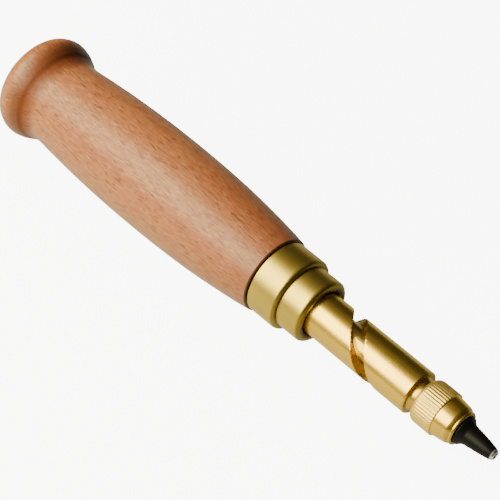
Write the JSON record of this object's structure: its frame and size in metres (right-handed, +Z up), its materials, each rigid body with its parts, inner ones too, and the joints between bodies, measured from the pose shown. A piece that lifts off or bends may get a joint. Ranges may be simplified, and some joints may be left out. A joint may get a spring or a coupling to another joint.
{
  "type": "spiral push punch",
  "caption": "Hand punch with a turned wooden handle: pushing it drives a spiral-grooved brass spindle that turns a hollow cutting tip held in a knurled collet nut.",
  "frame": {"origin": "middle of the tool's length, under its axis, at the height of the pommel's lowest line", "axes": "+X along the tool's axis towards the cutting tip, +Z up, the tool lying with its axis level"},
  "size_m": [0.156, 0.0274, 0.0275],
  "materials": {
    "handle_wood": "turned close-grained hardwood, satin varnish",
    "satin_brass": "turned, satin",
    "polished_brass": "drawn and polished",
    "bright_steel": "bright",
    "black_steel": "black oxide, satin, with a bright ground cutting ring"
  },
  "bodies": {
    "handle": {"wooden_handle": "handle_wood", "ferrule": "satin_brass", "guide_collar": "satin_brass", "drive_pin": "bright_steel", "guide_tube": "bright_steel", "spring_seat": "bright_steel", "return_spring": "bright_steel"},
    "follower": {"spring_follower": "bright_steel"},
    "spindle": {"spindle": "polished_brass"},
    "collet": {"collet": "bright_steel"},
    "nut": {"collet_nut": "polished_brass"},
    "tip": {"punch_tip": "black_steel"}
  },
  "joints": [
    {"name": "press_slide", "type": "slide", "parent": "handle", "child": "follower", "axis": [-1, 0, 0], "range_m": [0, 0.025], "stiffness_N_per_m": 700, "springref_m": -0.0115, "deforming": ["return_spring"]},
    {"name": "spindle_spin", "type": "hinge", "parent": "follower", "child": "spindle", "pos_m": [0, 0, 0.01373], "axis": [-1, 0, 0], "range_deg": [0, 361]},
    {"name": "collet_release", "type": "slide", "parent": "spindle", "child": "collet", "axis": [1, 0, 0], "range_m": [0, 0.0015]},
    {"name": "nut_turn", "type": "hinge", "parent": "collet", "child": "nut", "pos_m": [0, 0, 0.01373], "axis": [1, 0, 0], "range_deg": [0, 721]},
    {"name": "tip_pull", "type": "slide", "parent": "collet", "child": "tip", "axis": [1, 0, 0], "range_m": [0, 0.018]}
  ],
  "couplings": [
    {"joint": "spindle_spin", "follows": "press_slide", "rad_per_m": 251.33},
    {"joint": "nut_turn", "follows": "collet_release", "rad_per_m": 8377.6}
  ]
}
